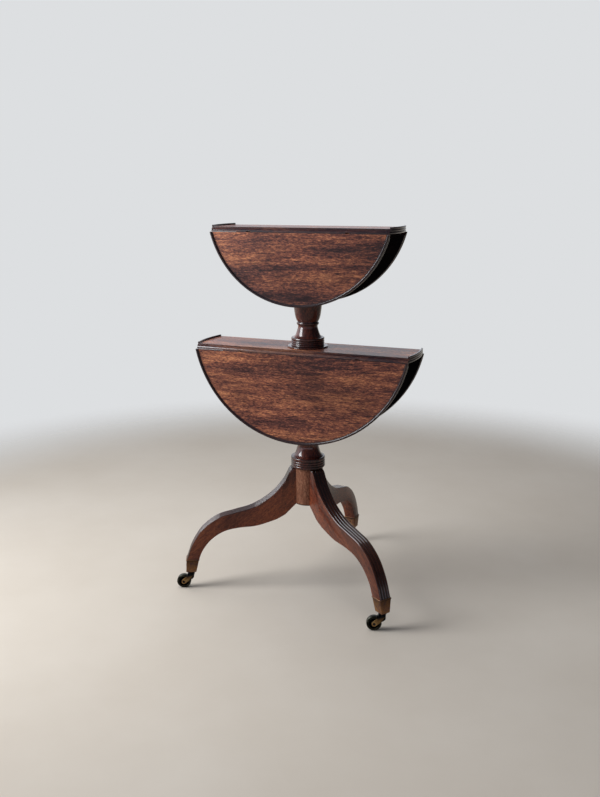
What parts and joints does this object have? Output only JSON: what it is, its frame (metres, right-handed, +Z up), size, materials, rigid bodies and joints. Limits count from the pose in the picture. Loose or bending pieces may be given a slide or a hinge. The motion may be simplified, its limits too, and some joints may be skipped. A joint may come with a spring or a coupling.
{
  "type": "dumbwaiter table",
  "caption": "Two-tier round dumbwaiter table with drop leaves on rule joints, a turned column and reeded sabre legs on brass castors.",
  "frame": {"origin": "on the floor, under the middle of the footprint's bounding box", "axes": "+Z up along the column, +X along the hinge lines towards the beds' right ends, +Y towards the leg that points back"},
  "size_m": [0.5942, 0.5088, 0.9328],
  "materials": {
    "mahogany_top": "French polish",
    "mahogany_turned": "French polish",
    "old_brass": "tarnished",
    "dark_steel": "aged",
    "black_iron": "forged",
    "wheel_bronze": "dark patina"
  },
  "bodies": {
    "stand": {"lower_column": "mahogany_turned", "upper_column": "mahogany_turned", "leg_back": "mahogany_turned", "leg_left": "mahogany_turned", "leg_right": "mahogany_turned", "castor_cap_back": "old_brass", "castor_cap_left": "old_brass", "castor_cap_right": "old_brass", "cap_screw_back": "dark_steel", "cap_screw_left": "dark_steel", "cap_screw_right": "dark_steel", "base_strap": "black_iron", "strap_screw": "dark_steel", "lower_bed": "mahogany_top", "lower_bearer_boss": "mahogany_turned", "upper_bed": "mahogany_top", "upper_bearer_boss": "mahogany_turned", "lower_front_left_hinge_bed_flap": "old_brass", "lower_front_left_hinge_pin": "dark_steel", "lower_front_right_hinge_bed_flap": "old_brass", "lower_front_right_hinge_pin": "dark_steel", "lower_back_left_hinge_bed_flap": "old_brass", "lower_back_left_hinge_pin": "dark_steel", "lower_back_right_hinge_bed_flap": "old_brass", "lower_back_right_hinge_pin": "dark_steel", "upper_front_left_hinge_bed_flap": "old_brass", "upper_front_left_hinge_pin": "dark_steel", "upper_front_right_hinge_bed_flap": "old_brass", "upper_front_right_hinge_pin": "dark_steel", "upper_back_left_hinge_bed_flap": "old_brass", "upper_back_left_hinge_pin": "dark_steel", "upper_back_right_hinge_bed_flap": "old_brass", "upper_back_right_hinge_pin": "dark_steel"},
    "lower_front_drop": {"lower_front_leaf": "mahogany_top", "lower_front_left_hinge_leaf_flap": "old_brass", "lower_front_right_hinge_leaf_flap": "old_brass"},
    "lower_back_drop": {"lower_back_leaf": "mahogany_top", "lower_back_left_hinge_leaf_flap": "old_brass", "lower_back_right_hinge_leaf_flap": "old_brass"},
    "upper_front_drop": {"upper_front_leaf": "mahogany_top", "upper_front_left_hinge_leaf_flap": "old_brass", "upper_front_right_hinge_leaf_flap": "old_brass"},
    "upper_back_drop": {"upper_back_leaf": "mahogany_top", "upper_back_left_hinge_leaf_flap": "old_brass", "upper_back_right_hinge_leaf_flap": "old_brass"},
    "lower_support": {"lower_bearer": "mahogany_turned"},
    "upper_support": {"upper_bearer": "mahogany_turned"},
    "back_castor": {"castor_pivot_back": "dark_steel", "castor_horn_back": "old_brass", "castor_axle_back": "dark_steel"},
    "back_castor_roller": {"castor_wheel_back": "wheel_bronze"},
    "left_castor": {"castor_pivot_left": "dark_steel", "castor_horn_left": "old_brass", "castor_axle_left": "dark_steel"},
    "left_castor_roller": {"castor_wheel_left": "wheel_bronze"},
    "right_castor": {"castor_pivot_right": "dark_steel", "castor_horn_right": "old_brass", "castor_axle_right": "dark_steel"},
    "right_castor_roller": {"castor_wheel_right": "wheel_bronze"}
  },
  "joints": [
    {"name": "lower_front_leaf_hinge", "type": "hinge", "parent": "stand", "child": "lower_front_drop", "pos_m": [0.01403, -0.12594, 0.6253], "axis": [-1, 0, 0], "range_deg": [0, 90]},
    {"name": "lower_back_leaf_hinge", "type": "hinge", "parent": "stand", "child": "lower_back_drop", "pos_m": [0.01403, -0.00594, 0.6253], "axis": [1, 0, 0], "range_deg": [0, 90]},
    {"name": "upper_front_leaf_hinge", "type": "hinge", "parent": "stand", "child": "upper_front_drop", "pos_m": [0.01403, -0.12594, 0.9173], "axis": [-1, 0, 0], "range_deg": [0, 90]},
    {"name": "upper_back_leaf_hinge", "type": "hinge", "parent": "stand", "child": "upper_back_drop", "pos_m": [0.01403, -0.00594, 0.9173], "axis": [1, 0, 0], "range_deg": [0, 90]},
    {"name": "lower_bearer_swing", "type": "hinge", "parent": "stand", "child": "lower_support", "pos_m": [0.01403, -0.06594, 0.6175], "axis": [0, 0, 1], "range_deg": [-14, 14]},
    {"name": "upper_bearer_swing", "type": "hinge", "parent": "stand", "child": "upper_support", "pos_m": [0.01403, -0.06594, 0.9095], "axis": [0, 0, 1], "range_deg": [-14, 14]},
    {"name": "back_castor_swivel", "type": "hinge", "parent": "stand", "child": "back_castor", "pos_m": [0.03149, 0.24056, 0.044], "axis": [0, 0, 1], "continuous": true},
    {"name": "back_castor_roll", "type": "hinge", "parent": "back_castor", "child": "back_castor_roller", "pos_m": [0.01301, 0.23291, 0.0182], "axis": [0.3827, -0.9239, 0], "continuous": true},
    {"name": "left_castor_swivel", "type": "hinge", "parent": "stand", "child": "left_castor", "pos_m": [-0.26014, -0.20408, 0.044], "axis": [0, 0, 1], "continuous": true},
    {"name": "left_castor_roll", "type": "hinge", "parent": "left_castor", "child": "left_castor_roller", "pos_m": [-0.27862, -0.21173, 0.0182], "axis": [0.3827, -0.9239, 0], "continuous": true},
    {"name": "right_castor_swivel", "type": "hinge", "parent": "stand", "child": "right_castor", "pos_m": [0.27074, -0.23431, 0.044], "axis": [0, 0, 1], "continuous": true},
    {"name": "right_castor_roll", "type": "hinge", "parent": "right_castor", "child": "right_castor_roller", "pos_m": [0.25226, -0.24197, 0.0182], "axis": [0.3827, -0.9239, 0], "continuous": true}
  ]
}
